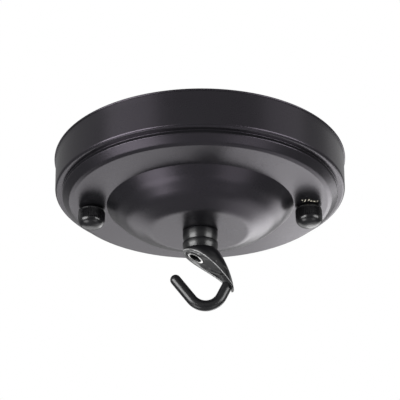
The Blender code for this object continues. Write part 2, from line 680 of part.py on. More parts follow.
def main():
    """Builds every piece."""
    clear_scene()
    black = make_material("black_paint", (0.018, 0.018, 0.021), 0.34, 0.0)
    hook_black = make_material("hook_black", (0.014, 0.014, 0.016), 0.28, 0.0)
    steel = make_material("zinc_steel", (0.62, 0.63, 0.65), 0.32, 1.0)
    brass = make_material("brass", (0.72, 0.55, 0.26), 0.3, 1.0)
    make_canopy(black)
    make_crossbar(steel)
    make_fixings(steel, hook_black)
    make_tube_set(steel)
    make_hook(hook_black)
    make_earth_terminal(steel, brass)


main()
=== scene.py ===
# %% [markdown]
# # A ceiling canopy for a hanging light
#
# A round black cup hides the wiring hole in a ceiling. Two knurled nuts hold it up, and a cast hook in
# its centre carries the lamp. The measured part is loaded first and stays as it is. This lesson dresses
# it: finer shapes where the part is plain, and a finish for every surface.

# %% Load the measured part
import math

import bmesh
import bpy
from mathutils import Matrix, Vector


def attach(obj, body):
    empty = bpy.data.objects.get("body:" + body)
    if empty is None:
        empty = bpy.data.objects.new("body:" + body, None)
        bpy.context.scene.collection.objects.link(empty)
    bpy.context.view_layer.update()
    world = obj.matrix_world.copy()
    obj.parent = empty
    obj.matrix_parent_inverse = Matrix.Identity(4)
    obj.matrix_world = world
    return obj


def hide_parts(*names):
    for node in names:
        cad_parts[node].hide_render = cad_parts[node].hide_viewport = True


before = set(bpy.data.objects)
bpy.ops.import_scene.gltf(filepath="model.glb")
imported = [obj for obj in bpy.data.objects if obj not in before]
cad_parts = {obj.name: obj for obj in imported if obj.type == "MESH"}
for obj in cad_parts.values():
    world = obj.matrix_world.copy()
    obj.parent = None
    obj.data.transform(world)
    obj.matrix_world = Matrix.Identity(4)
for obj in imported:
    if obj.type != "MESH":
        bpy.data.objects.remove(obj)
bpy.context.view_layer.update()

MM = 0.001

# %% [markdown]
# ## The camera
#
# The picture was taken from below and in front, so the near side of the rim is at the top of the frame.
# The circles of the rim, the ledge and the dome tell where the camera stood: a circle seen from a known
# slope becomes an ellipse of known height, and its drift towards one side tells the distance. The
# camera is placed by that distance, by its slope below the ceiling and by the pitch at which it looks up.

# %% Place the camera
CAMERA_DISTANCE = 359.94 * MM
CAMERA_SLOPE = math.radians(28.43)
CAMERA_PITCH = math.radians(26.466)
CAMERA_YAW = math.radians(-0.0082)
CAMERA_ROLL = math.radians(0.43)
CAMERA_SENSOR = 36.0  # Blender takes a camera's sensor and lens in millimetres
CAMERA_LENS = 86.346


def place_camera():
    """Makes the camera, looking up along +Y from below the canopy."""
    data = bpy.data.cameras.new("camera")
    data.sensor_width = CAMERA_SENSOR
    data.lens = CAMERA_LENS
    data.clip_start = 10 * MM
    ahead = Vector((math.cos(CAMERA_PITCH) * math.sin(CAMERA_YAW),
                    math.cos(CAMERA_PITCH) * math.cos(CAMERA_YAW), math.sin(CAMERA_PITCH)))
    level = Vector((math.cos(CAMERA_YAW), -math.sin(CAMERA_YAW), 0.0))
    over = level.cross(ahead)
    right = level * math.cos(CAMERA_ROLL) - over * math.sin(CAMERA_ROLL)
    up = level * math.sin(CAMERA_ROLL) + over * math.cos(CAMERA_ROLL)
    towards = Vector((0.0, -math.cos(CAMERA_SLOPE), -math.sin(CAMERA_SLOPE)))
    camera = bpy.data.objects.new("camera", data)
    camera.matrix_world = Matrix((right, up, -ahead)).transposed().to_4x4()
    camera.location = towards * CAMERA_DISTANCE
    bpy.context.scene.collection.objects.link(camera)
    bpy.context.scene.camera = camera
    return camera


camera = place_camera()
bpy.context.scene.view_settings.view_transform = "Standard"
print("camera at", [round(c / MM, 1) for c in camera.location])

# %% [markdown]
# ## Node trees written as expressions
#
# Both a finish and a shape that repeats are node trees. Wiring them by hand in a script is long, so one
# small class stands for an output and turns Python's operators into Math nodes. A second class holds
# the tree and adds any other node with one call: its type, its settings, then its inputs.

# %% A value and a tree
class Value:
    """One output of a node tree. Python's operators on it add Math nodes."""

    def __init__(self, tree, socket):
        self.tree = tree
        self.socket = socket

    def __add__(self, other):
        return self.tree.maths("ADD", self, other)

    def __radd__(self, other):
        return self.tree.maths("ADD", other, self)

    def __sub__(self, other):
        return self.tree.maths("SUBTRACT", self, other)

    def __rsub__(self, other):
        return self.tree.maths("SUBTRACT", other, self)

    def __mul__(self, other):
        return self.tree.maths("MULTIPLY", self, other)

    def __rmul__(self, other):
        return self.tree.maths("MULTIPLY", other, self)

    def __truediv__(self, other):
        return self.tree.maths("DIVIDE", self, other)

    def __rtruediv__(self, other):
        return self.tree.maths("DIVIDE", other, self)


class Tree:
    """A node tree that is built by calls."""

    def __init__(self, tree):
        self.tree = tree

    def node(self, kind, settings=None, inputs=None, output=0):
        """Adds a node: its type, its settings first, then its inputs; gives back one of its outputs."""
        made = self.tree.nodes.new(kind)
        for name, value in (settings or {}).items():
            setattr(made, name, value)
        for name, value in (inputs or {}).items():
            self.join(value, made.inputs[name])
        return Value(self, made.outputs[output])

    def join(self, value, socket):
        """Links a value to a socket, or writes a number or colour there."""
        if isinstance(value, Value):
            self.tree.links.new(value.socket, socket)
        else:
            socket.default_value = value

    def maths(self, operation, *values):
        """A Math node on up to three values."""
        return self.node("ShaderNodeMath", {"operation": operation}, dict(enumerate(values)))

    def vector(self, operation, *vectors, output=0):
        """A Vector Math node. What is a number, such as a length, is its output "Value"."""
        return self.node("ShaderNodeVectorMath", {"operation": operation}, dict(enumerate(vectors)), output)

    def split(self, vector):
        """The x, y and z of a vector."""
        parts = self.node("ShaderNodeSeparateXYZ", inputs={0: vector}).socket.node
        return [Value(self, socket) for socket in parts.outputs]

    def mix(self, share, first, second):
        """A colour between two colours, which are a Mix node's inputs 6 and 7 and its output 2."""
        return self.node("ShaderNodeMix", {"data_type": "RGBA"}, {0: share, 6: first, 7: second}, 2)

    def ease(self, value, low, high):
        """0 up to low, 1 from high on, and a smooth rise between them."""
        settings = {"interpolation_type": "SMOOTHSTEP"}
        return self.node("ShaderNodeMapRange", settings, {"Value": value, "From Min": low, "From Max": high})

    def band(self, value, start, full, fading, end):
        """1 from full to fading, 0 before start and after end, with smooth sides."""
        return self.ease(value, start, full) * (1 - self.ease(value, fading, end))


print("Math nodes follow from + - * and /")

# %% [markdown]
# ## The studio
#
# Black paint has next to no colour of its own, so what the picture shows is the room in it. The flat
# ledge mirrors pale sweeps behind the canopy. The wall, the beads and the nuts mirror a wide soft lamp
# low on each side of the camera, with a fainter one above and below it. Between the lamps the room is
# dim. The white background belongs to the camera alone, through Light Path, so it lights nothing.

# %% World and floor
WHITE = (1.0, 1.0, 1.0, 1.0)
ROOM_GREY = (0.34, 0.34, 0.34, 1.0)
FLOOR_DEPTH = 0.9
FLOOR_HALF = 4.0
FLOOR_PALE = (0.92, 0.92, 0.92, 1.0)
FLOOR_GREY = (0.35, 0.35, 0.36, 1.0)


def paint_world():
    """White for the camera, a dim grey room for everything else."""
    world = bpy.data.worlds.new("studio")
    world.use_nodes = True
    bpy.context.scene.world = world
    tree = Tree(world.node_tree)
    seen = tree.node("ShaderNodeLightPath", output="Is Camera Ray")
    tree.join(tree.mix(seen, ROOM_GREY, WHITE), world.node_tree.nodes["Background"].inputs["Color"])


def lay_floor():
    """A pale floor, near white to the camera and a soft grey to the part above it."""
    bm = bmesh.new()
    corners = ((-1, -1), (1, -1), (1, 1), (-1, 1))
    bm.faces.new([bm.verts.new((x * FLOOR_HALF, y * FLOOR_HALF, -FLOOR_DEPTH)) for x, y in corners])
    mesh = bpy.data.meshes.new("floor")
    bm.to_mesh(mesh)
    bm.free()
    floor = bpy.data.objects.new("floor", mesh)
    bpy.context.scene.collection.objects.link(floor)
    material = bpy.data.materials.new("pale_floor")
    material.use_nodes = True
    tree = Tree(material.node_tree)
    seen = tree.node("ShaderNodeLightPath", output="Is Camera Ray")
    shader = material.node_tree.nodes["Principled BSDF"]
    tree.join(tree.mix(seen, FLOOR_GREY, FLOOR_PALE), shader.inputs["Base Color"])
    shader.inputs["Roughness"].default_value = 0.9
    mesh.materials.append(material)


paint_world()
lay_floor()
print("floor", FLOOR_DEPTH, "m under the ceiling")

# %% Lamps
LAMPS = (
    # name, azimuth and elevation in degrees, distance, width and height in metres, power in watts
    ("lamp_left", -52, -10, 0.9, 0.70, 0.42, 9.5),
    ("lamp_left_low", -74, -54, 0.9, 0.45, 0.40, 2.0),
    ("lamp_left_high", -52, 24, 0.9, 0.60, 0.32, 0.55),
    ("lamp_right", 57, -10, 0.9, 0.64, 0.42, 5.6),
    ("lamp_right_low", 58, -54, 0.9, 0.40, 0.40, 0.6),
    ("lamp_right_high", 66, 26, 0.9, 0.50, 0.32, 0.25),
    ("sweep_back", 180, -25, 1.1, 1.40, 0.50, 3.2),
    ("sweep_right", 152, -16, 1.1, 0.80, 0.50, 3.3),
    ("sweep_low", 150, -45, 1.0, 0.60, 0.50, 0.8),
    ("lamp_back", 135, 40, 1.0, 0.70, 0.60, 0.3),
)
AIM = Vector((0.0, 0.0, -20 * MM))


def hang_lamp(name, azimuth, elevation, distance, width, height, power):
    """A soft rectangular lamp; azimuth 0 is on the camera's side and 90 is to its right."""
    data = bpy.data.lights.new(name, "AREA")
    data.shape = "RECTANGLE"
    data.size, data.size_y = width, height
    data.energy = power
    turn, rise = math.radians(azimuth), math.radians(elevation)
    out = Vector((math.sin(turn) * math.cos(rise), -math.cos(turn) * math.cos(rise), math.sin(rise)))
    lamp = bpy.data.objects.new(name, data)
    lamp.location = AIM + out * distance
    lamp.rotation_mode = "QUATERNION"
    lamp.rotation_quaternion = (-out).to_track_quat("-Z", "Y")
    lamp.visible_camera = False
    bpy.context.scene.collection.objects.link(lamp)


for settings in LAMPS:
    hang_lamp(*settings)
print(len(LAMPS), "lamps")

# %% [markdown]
# ## Finishes
#
# Every finish here is a Principled shader. What is the same all over goes on the shader's own sockets.
# What changes over the surface, such as the peel of sprayed paint or bare metal where it is rubbed off,
# is drawn by noise at its real size in millimetres, and feeds only colour, roughness, metal and bump.

# %% A finish
class Finish(Tree):
    """A material with one Principled shader and patterns that are given in metres."""

    def __init__(self, name, **constants):
        self.material = bpy.data.materials.new(name)
        self.material.use_nodes = True
        super().__init__(self.material.node_tree)
        self.shader = self.tree.nodes["Principled BSDF"]
        self.place = self.node("ShaderNodeTexCoord", output="Object")
        self.set(**constants)

    def set(self, **values):
        """Writes or links sockets of the shader; an underscore stands for a space."""
        for name, value in values.items():
            self.join(value, self.shader.inputs[name.replace("_", " ")])

    def noise(self, size, detail=2.0, stretch=(1.0, 1.0, 1.0), shift=0.0):
        """Noise from 0 to 1 with spots of about that size, drawn out along an axis by its stretch."""
        along = tuple(1.0 / (size * share) for share in stretch)
        place = self.node("ShaderNodeMapping", inputs={"Vector": self.place, "Scale": along,
                                                       "Location": (shift, shift, shift)})
        return self.node("ShaderNodeTexNoise", inputs={"Vector": place, "Scale": 1.0, "Detail": detail})

    def bump(self, height, depth):
        """Relief: a height from 0 to 1 that stands for that many metres."""
        normal = self.node("ShaderNodeBump", inputs={"Height": height, "Distance": depth})
        self.set(Normal=normal)


print("finish helper ready")

# %% [markdown]
# ### Satin black on the cup
#
# The cup is sprayed with black paint that dries to a satin skin. Close up it has a slight peel, spots
# about 1.5 mm wide and a hundredth of a millimetre deep, and a much finer grain. Both break up the
# reflections a little without hiding them. In front of the right nut the paint has flaked, and pale
# specks show. Noise draws them, and two masks hold them in: a narrow ring round the nut's screw, and
# the front part of that ring.

# %% Paint of the cup
NUT_X = 39.7 * MM
LEDGE_Z = -17.2 * MM
CUP_BLACKS = ((0.0065, 0.0065, 0.0075, 1.0), (0.0095, 0.0095, 0.0105, 1.0))
CUP_SHEEN = (0.94, 0.83, 1.0, 1.0)
SPECK_COLOUR = (0.95, 0.90, 0.74, 1.0)
SPECK_SIZE = 0.55 * MM
SPECK_RING = (5.0 * MM, 5.2 * MM, 6.6 * MM, 7.2 * MM)  # out from the screw: from none to full to none
SPECK_FRONT = (0.84, 0.9)  # 1 is straight in front of the screw


def cup_paint():
    """Satin black, with paint peel and a fine grain, and specks in front of the right nut."""
    finish = Finish("canopy_paint", Specular_IOR_Level=0.5, Specular_Tint=CUP_SHEEN)
    peel = finish.noise(1.5 * MM, 1.0)
    grain = finish.noise(0.16 * MM, 2.0, shift=3.1)
    cloud = finish.noise(14 * MM, 2.0, shift=7.7)
    flakes = finish.noise(SPECK_SIZE, 0.0, stretch=(1.0, 3.0, 1.0), shift=2.4)
    from_screw = finish.vector("SUBTRACT", finish.place, (NUT_X, 0.0, LEDGE_Z))
    reach = finish.vector("LENGTH", from_screw, output="Value")
    _, y, z = finish.split(from_screw)
    wear_and_highlight = finish.band(reach, *SPECK_RING) * finish.ease(0 - y / reach, *SPECK_FRONT)
    outside = 1 - finish.ease(z, 0.1 * MM, 0.3 * MM)
    bare = finish.ease(flakes, 0.58, 0.61) * wear_and_highlight * outside
    finish.set(Base_Color=finish.mix(bare, finish.mix(cloud, *CUP_BLACKS), SPECK_COLOUR),
               Roughness=0.23 + 0.05 * cloud + 0.05 * grain + 0.25 * bare)
    finish.bump(peel * 0.7 + grain * 0.3, 0.012 * MM)
    return finish.material


canopy_paint = cup_paint()
print(canopy_paint.name)

# %% [markdown]
# ### Semi-gloss black on the hook, and its white lip
#
# The hook is cast and dipped in a glossier black. Casting leaves its skin gently uneven. The lip round
# the cable hole has lost its black and is a dull white: a ring, found by its distance from the hole's
# own sloping axis and by its height along that axis. The same height finds the floor of the hollow
# round the lip, which is rough and patchy. Just above the leaf's rim a thin grey line is a painted
# highlight, found by the same curve that cuts the rim further on.

# %% Paint of the hook
NECK_Z = -34.5 * MM
SCOOP_ANGLE = math.radians(28.0)
HOLE_PLACE = Vector((-1.7 * MM, 0.0, NECK_Z - 2.35 * MM))
HOLE_AXIS = Vector((-math.sin(SCOOP_ANGLE), 0.0, -math.cos(SCOOP_ANGLE)))
HOLE_RADIUS = 2.3 * MM
LIP_WIDTH = 0.75 * MM
LIP_HEIGHT = 0.8 * MM
RIM_LINE = ((-6.45, 0.45), (3.25, 4.1), (10.85, 13.85))  # x and depth under the neck, in millimetres
# The painted highlight along the leaf's rim: its band up from the rim, and where it starts out from the
# hole's axis
RIM_HIGHLIGHT_BAND = (0.02 * MM, 0.1 * MM, 0.35 * MM, 0.45 * MM)  # up from the rim: from none to full to none
HIGHLIGHT_CLEAR = (3.9 * MM, 4.3 * MM)  # out from the hole's axis, where the painted highlight starts
SEMI_GLOSS_BLACK = (0.006, 0.006, 0.0068, 1.0)
PATCH_GREY = (0.05, 0.05, 0.05, 1.0)
# The grey of the painted highlight along the leaf's rim
RIM_HIGHLIGHT_GREY = (0.32, 0.32, 0.32, 1.0)
LIP_WHITE = (0.95, 0.95, 0.93, 1.0)


def rim_edge(finish):
    """1 just above the leaf's sloping rim, which is one curve of three points, and 0 elsewhere."""
    x, _, z = finish.split(finish.place)
    (x0, z0), (x1, z1), (x2, z2) = RIM_LINE
    lead, turn = 2 * (x1 - x0) * MM, (x0 - 2 * x1 + x2) * MM
    share = (finish.maths("SQRT", lead ** 2 + 4 * turn * (x - x0 * MM)) - lead) / (2 * turn)
    depth = (share * share * (z0 - 2 * z1 + z2) + share * (2 * (z1 - z0)) + z0) * MM
    return finish.band(z + depth - NECK_Z, *RIM_HIGHLIGHT_BAND)


def hook_black():
    """Semi-gloss black with a dull white lip, a patchy hollow and a painted highlight along the rim."""
    finish = Finish("hook_paint", Specular_IOR_Level=0.5)
    cast = finish.noise(2.4 * MM, 2.0)
    grain = finish.noise(0.3 * MM, 2.0, shift=5.3)
    from_hole = finish.vector("SUBTRACT", finish.place, tuple(HOLE_PLACE))
    along = finish.vector("DOT_PRODUCT", from_hole, tuple(HOLE_AXIS), output="Value")
    reach = finish.vector("LENGTH", from_hole, output="Value")
    out = finish.maths("SQRT", finish.maths("MAXIMUM", reach * reach - along * along, 0.0))
    ragged = (grain - 0.5) * (0.25 * MM)
    lip_radius = HOLE_RADIUS + LIP_WIDTH
    ring = finish.band(out + ragged, HOLE_RADIUS - 0.25 * MM, HOLE_RADIUS - 0.05 * MM,
                       lip_radius + 0.05 * MM, lip_radius + 0.2 * MM)
    top = finish.ease(along + ragged, LIP_HEIGHT - 0.6 * MM, LIP_HEIGHT - 0.4 * MM) * (
        1 - finish.ease(along, LIP_HEIGHT + 0.3 * MM, LIP_HEIGHT + 0.4 * MM))
    bare = ring * top
    floor = finish.band(along, -0.4 * MM, -0.1 * MM, 0.2 * MM, 0.4 * MM)
    patches = finish.ease(cast, 0.52, 0.6) * floor
    # A painted highlight: a thin grey line just above the leaf's rim, broken up by the cast noise
    wear_and_highlight = 0.3 + 0.7 * finish.ease(cast, 0.35, 0.55)
    rim_highlight = rim_edge(finish) * finish.ease(out, *HIGHLIGHT_CLEAR) * wear_and_highlight
    dark = finish.mix(patches, SEMI_GLOSS_BLACK, PATCH_GREY)
    dark = finish.mix(rim_highlight, dark, RIM_HIGHLIGHT_GREY)
    finish.set(Base_Color=finish.mix(bare, dark, LIP_WHITE),
               Roughness=0.27 + 0.05 * cast + 0.2 * bare + 0.35 * floor)
    finish.bump(cast * 0.7 + grain * 0.3, 0.008 * MM)
    return finish.material


hook_paint = hook_black()
print(hook_paint.name)

# %% [markdown]
# ### Black over brass on the cap nuts
#
# The cap nuts are turned from brass and blackened. On the right one the coat has chipped along the near
# side of its top edge, where fingers and the ledge rub it, and specks of brass show.

# %% Paint of the nuts
NUT_TOP = -17.5 * MM
CHIP_BRASS = (0.75, 0.62, 0.36, 1.0)
# Each pair: no chips at its first value, all of them from its second on
CHIP_EDGE = (NUT_TOP - 0.5 * MM, NUT_TOP - 0.2 * MM)
CHIP_FRONT = (3.4 * MM, 3.8 * MM)
CHIP_RIGHT = (NUT_X - 4.5 * MM, NUT_X - 3.5 * MM)


def nut_black():
    """Semi-gloss black, with brass specks along the right nut's near top edge."""
    finish = Finish("nut_paint", Specular_IOR_Level=0.5)
    grain = finish.noise(0.25 * MM, 2.0)
    chips = finish.noise(0.6 * MM, 0.0, shift=2.4)
    x, y, z = finish.split(finish.place)
    place = finish.ease(z, *CHIP_EDGE) * finish.ease(0 - y, *CHIP_FRONT) * finish.ease(x, *CHIP_RIGHT)
    bare = finish.ease(chips, 0.58, 0.62) * place
    finish.set(Base_Color=finish.mix(bare, SEMI_GLOSS_BLACK, CHIP_BRASS), Metallic=bare,
               Roughness=0.22 + 0.05 * grain)
    finish.bump(grain, 0.0015 * MM)
    return finish.material


nut_paint = nut_black()
print(nut_paint.name)

# %% [markdown]
# ### Zinc plate and brass inside the cup
#
# The crossbar, screws, nuts, washers and tube are steel with a bright zinc plate. It is cloudy, faintly
# blue, and finely scratched from tumbling in the plating drum. The earth screw is plain brass.

# %% Zinc and brass
def zinc_plate():
    """Bright zinc: a cloudy grey metal with fine scratches."""
    finish = Finish("zinc_steel", Metallic=1.0)
    cloud = finish.noise(5 * MM, 3.0)
    scratch = finish.noise(0.35 * MM, 2.0, stretch=(9.0, 1.0, 1.0), shift=4.2)
    cross = finish.noise(0.3 * MM, 2.0, stretch=(1.0, 7.0, 1.0), shift=8.8)
    finish.set(Base_Color=finish.mix(cloud, (0.55, 0.57, 0.60, 1.0), (0.70, 0.71, 0.72, 1.0)),
               Roughness=0.2 + 0.18 * cloud + 0.1 * scratch)
    finish.bump(scratch * 0.5 + cross * 0.5, 0.006 * MM)
    return finish.material


def plain_brass():
    """Turned brass, slightly dulled."""
    finish = Finish("brass", Metallic=1.0)
    cloud = finish.noise(2 * MM, 3.0)
    fine = finish.noise(0.15 * MM, 2.0, shift=1.9)
    finish.set(Base_Color=finish.mix(cloud, (0.62, 0.43, 0.17, 1.0), (0.78, 0.60, 0.30, 1.0)),
               Roughness=0.22 + 0.15 * cloud)
    finish.bump(fine, 0.005 * MM)
    return finish.material


zinc_steel = zinc_plate()
brass = plain_brass()
print(zinc_steel.name, brass.name)

# %% [markdown]
# ## Turned pieces
#
# The cup, the cap nuts, the screws and the tube are all turned: one outline goes round an axis. A Screw
# modifier could do that, but the nuts' knurl and the screws' threads are ribs that repeat round the
# same axis, straight on the nuts and rising on a thread. So one Geometry Nodes tree does both. It bends
# a grid round the axis, gives each row the radius and height of one point of the outline, and presses
# ribs into the rows whose "ribbed" attribute says so.

# %% The turning tree
TURN_SOCKETS = (("Outline", "Geometry"), ("Sides", "Int"), ("Ribs", "Int"), ("Turns per Metre", "Float"),
                ("Rib Depth", "Float"), ("Finish", "Material"))
GROOVE_SLOPE = 1.35  # how steeply a groove between two ribs falls, against one that is a plain V
RIB_LAND = 0.2  # how much of that slope is taken off, which leaves a land on each rib
MERGE_DISTANCE = 1e-7


def turning_tree():
    """Geometry Nodes that turn an outline round the vertical axis, with ribs or a thread."""
    group = bpy.data.node_groups.new("turned_body", "GeometryNodeTree")
    for name, kind in TURN_SOCKETS:
        group.interface.new_socket(name=name, in_out="INPUT", socket_type=f"NodeSocket{kind}")
    group.interface.new_socket(name="Body", in_out="OUTPUT", socket_type="NodeSocketGeometry")
    tree = Tree(group)
    given = {name: tree.node("NodeGroupInput", output=name) for name, _ in TURN_SOCKETS}
    rows = tree.node("GeometryNodeAttributeDomainSize", {"component": "MESH"}, {0: given["Outline"]})
    sides = given["Sides"]
    grid = tree.node("GeometryNodeMeshGrid", inputs={"Vertices X": sides + 1, "Vertices Y": rows})
    index = tree.node("GeometryNodeInputIndex")
    column = tree.maths("FLOOR", (index + 0.5) / rows)
    row = index - column * rows

    def read(attribute, data_type):
        return tree.node("GeometryNodeSampleIndex", {"data_type": data_type, "domain": "POINT"},
                         {"Geometry": given["Outline"], "Value": attribute, "Index": row})

    place = read(tree.node("GeometryNodeInputPosition"), "FLOAT_VECTOR")
    radius, _, height = tree.split(place)
    ribbed = read(tree.node("GeometryNodeInputNamedAttribute", {"data_type": "FLOAT"}, {"Name": "ribbed"}),
                  "FLOAT")
    share = column / sides
    phase = tree.maths("FRACT", share * given["Ribs"] - height * given["Turns per Metre"])
    groove = 1 - tree.maths("ABSOLUTE", phase * 2 - 1)
    pressed = tree.maths("MAXIMUM", groove * GROOVE_SLOPE - RIB_LAND, 0.0)
    pressed = tree.maths("MINIMUM", pressed, 1.0)
    reach = radius - pressed * given["Rib Depth"] * ribbed
    angle = share * (2 * math.pi)
    point = tree.node("ShaderNodeCombineXYZ", inputs={
        "X": reach * tree.maths("COSINE", angle), "Y": reach * tree.maths("SINE", angle), "Z": height})
    bent = tree.node("GeometryNodeSetPosition", inputs={"Geometry": grid, "Position": point})
    closed = tree.node("GeometryNodeMergeByDistance", inputs={"Geometry": bent, "Distance": MERGE_DISTANCE})
    real = tree.node("GeometryNodeRealizeInstances", inputs={"Geometry": closed})
    painted = tree.node("GeometryNodeSetMaterial", inputs={"Geometry": real, "Material": given["Finish"]})
    end = group.nodes.new("NodeGroupOutput")
    tree.join(painted, end.inputs["Body"])
    return group


turned_body = turning_tree()
print("turning tree:", len(turned_body.nodes), "nodes")

# %% Turn an outline
def settle(maker):
    """Makes an object's modifiers final: their result becomes its plain mesh."""
    depsgraph = bpy.context.evaluated_depsgraph_get()
    mesh = bpy.data.meshes.new_from_object(maker.evaluated_get(depsgraph))
    maker.modifiers.clear()
    maker.data = mesh
    mesh.name = maker.name


def face_outwards(piece, sharp_degrees):
    """Turns a closed mesh's faces outwards, and shades it smooth apart from its sharp edges."""
    bm = bmesh.new()
    bm.from_mesh(piece.data)
    bmesh.ops.recalc_face_normals(bm, faces=bm.faces)
    open_edges = sum(not edge.is_manifold for edge in bm.edges)
    volume = bm.calc_volume() / MM ** 3
    bm.to_mesh(piece.data)
    bm.free()
    piece.data.shade_smooth()
    piece.data.set_sharp_from_angle(angle=math.radians(sharp_degrees))
    triangles = sum(len(face.vertices) - 2 for face in piece.data.polygons)
    print(f"{piece.name}: {triangles} triangles, {volume:.1f} cubic mm, {open_edges} open edges")


def turn_piece(name, outline, sides, material, ribbed=None, ribs=0, turns_per_metre=0.0, depth=0.0):
    """A turned piece from (radius, z) points, ring-shaped when its first and last points are one."""
    mesh = bpy.data.meshes.new(name)
    mesh.from_pydata([(radius, 0.0, z) for radius, z in outline],
                     [(i, i + 1) for i in range(len(outline) - 1)], [])
    marks = mesh.attributes.new("ribbed", "FLOAT", "POINT")
    marks.data.foreach_set("value", [ribbed(radius, z) if ribbed else 0.0 for radius, z in outline])
    piece = bpy.data.objects.new(name, mesh)
    bpy.context.scene.collection.objects.link(piece)
    modifier = piece.modifiers.new("turn", "NODES")
    modifier.node_group = turned_body
    given = {item.name: item.identifier for item in turned_body.interface.items_tree
             if item.in_out == "INPUT"}
    values = {"Sides": sides, "Ribs": ribs, "Turns per Metre": turns_per_metre, "Rib Depth": depth,
              "Finish": material}
    for socket, value in values.items():
        modifier[given[socket]] = value
    settle(piece)
    return piece


print("pieces turn with turn_piece()")

# %% [markdown]
# ## The cup
#
# The real cup is pressed from one sheet, 0.7 mm thick: a wall, a narrow shelf with a groove at its
# root, a bead that rolls down to a flat ledge, and a shallow dome. Its outline is a run of straight
# parts with rounds between them. Smooth shading bends light across a long flat face that ends in a
# tight round, so each round gets a supporting point on either side of it, which keeps the flat parts
# flat and the highlights narrow.

# %% Outlines with rounds
SMALLEST_ROUND = 0.05 * MM
ROOM_SHARE = 0.98  # of a run between two corners, for both of their rounds


def offset_corners(corners, distance):
    """Moves an open outline of (x, y, round) corners to the right of its run, and its rounds with it."""
    points = [Vector(corner[:2]) for corner in corners]
    runs = [(b - a).normalized() for a, b in zip(points, points[1:])]
    sides = [Vector((run.y, -run.x)) * distance for run in runs]
    moved = [(*(points[0] + sides[0]), 0.0)]
    for i in range(1, len(points) - 1):
        before, after = runs[i - 1], runs[i]
        bend = before.x * after.y - before.y * after.x
        start = points[i] + sides[i - 1]
        gap = (points[i] + sides[i]) - start
        reach = (gap.x * after.y - gap.y * after.x) / bend
        grown = corners[i][2] + (distance if bend > 0 else -distance)
        moved.append((*(start + before * reach), max(grown, SMALLEST_ROUND)))
    moved.append((*(points[-1] + sides[-1]), 0.0))
    return moved


def round_corners(corners, step_degrees, support):
    """Turns (x, y, round) corners into points. Two rounds share the run between them by their sizes."""
    def room(run, own, other):
        return ROOM_SHARE * run.length * own / (own + other)

    points = [Vector(corners[0][:2])]
    for before, corner, after in zip(corners, corners[1:], corners[2:]):
        here = Vector(corner[:2])
        back, ahead = Vector(before[:2]) - here, Vector(after[:2]) - here
        bend = math.pi - back.angle(ahead)
        reach = min(corner[2] * math.tan(bend / 2), room(back, corner[2], before[2]),
                    room(ahead, corner[2], after[2]))
        radius = reach / math.tan(bend / 2)
        start, end = here + back.normalized() * reach, here + ahead.normalized() * reach
        middle = here + (back.normalized() + ahead.normalized()).normalized() * (radius / math.cos(bend / 2))
        count = max(3, round(math.degrees(bend) / step_degrees))
        if (start - points[-1]).length > 2 * support:
            points.append(start + (points[-1] - start).normalized() * support)
        for i in range(count + 1):
            turn = (start - middle).normalized().slerp((end - middle).normalized(), i / count)
            points.append(middle + turn * radius)
        if ahead.length - reach > 3 * support:
            points.append(end + ahead.normalized() * support)
    points.append(Vector(corners[-1][:2]))
    return points


print("rounds in steps of a few degrees")

# %% The cup's outline
SHEET = 0.7 * MM
CUP_CORNERS = [  # radius, z, round
    (53.58 * MM, 0.0, 0.0),
    (53.4 * MM, -2.5 * MM, 4.0 * MM),
    (52.95 * MM, -13.6 * MM, 1.0 * MM),
    (50.15 * MM, -13.4 * MM, 0.2 * MM),
    (50.35 * MM, -14.75 * MM, 0.45 * MM),
    (47.9 * MM, -16.75 * MM, 1.8 * MM),
    (46.6 * MM, -17.2 * MM, 1.0 * MM),
    (34.1 * MM, -17.2 * MM, 0.35 * MM),
    (30.7 * MM, -20.6 * MM, 14.0 * MM),
    (25.5 * MM, -24.2 * MM, 14.0 * MM),
    (18.3 * MM, -26.8 * MM, 8.0 * MM),
    (5.25 * MM, -26.8 * MM, 0.0),
]
CUP_SIDES = 224
OUTER_STEP = 5.0  # degrees between the points of a round
INNER_STEP = 8.0
SUPPORT = 0.12 * MM
RIM_ROLL = 0.4 * MM
SCREW_HOLE_RADIUS = 2.3 * MM
SCREW_HOLE_SIDES = 48


def cup_outline():
    """The sheet's section: the rolled rim, the outside down to the centre hole, and back up inside."""
    outer = round_corners(CUP_CORNERS, OUTER_STEP, SUPPORT)
    inner = round_corners(offset_corners(CUP_CORNERS, SHEET), INNER_STEP, SUPPORT)
    roll = []
    for degrees in range(90, -91, -15):
        angle = math.radians(degrees)
        roll.append(Vector((outer[0].x + RIM_ROLL * math.cos(angle), RIM_ROLL * (math.sin(angle) - 1))))
    points = roll + outer[1:] + inner[::-1]
    return [(point.x, min(point.y, 0.0)) for point in points + [points[0]]]


def combine(piece, others, operation, solver="EXACT"):
    """Cuts other bodies out of a piece, or joins them to it, for good, and deletes them."""
    for other in others:
        modifier = piece.modifiers.new(other.name, "BOOLEAN")
        modifier.operation = operation
        modifier.solver = solver
        modifier.object = other
    settle(piece)
    for other in others:
        bpy.data.objects.remove(other)


canopy = turn_piece("canopy_cup", cup_outline(), CUP_SIDES, canopy_paint)
low, high = LEDGE_Z - MM, LEDGE_Z + 3 * MM
drill = [(0.0, low), (SCREW_HOLE_RADIUS, low), (SCREW_HOLE_RADIUS, high), (0.0, high)]
holes = []
for x in (-NUT_X, NUT_X):
    hole = turn_piece("screw_hole", drill, SCREW_HOLE_SIDES, canopy_paint)
    hole.data.transform(Matrix.Translation((x, 0.0, 0.0)))
    face_outwards(hole, 30)
    holes.append(hole)
face_outwards(canopy, 35)
combine(canopy, holes, "DIFFERENCE")
face_outwards(canopy, 35)
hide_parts("canopy")
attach(canopy, "cover")

# %% [markdown]
# ## The cap nuts
#
# Each cap nut is a small drum: a plain band at its mouth, a fine groove, a knurled grip and a full,
# rounded end. The knurl is straight: 40 ribs, pressed 0.3 mm deep. The tree presses them where the
# outline's "ribbed" mark is above zero.

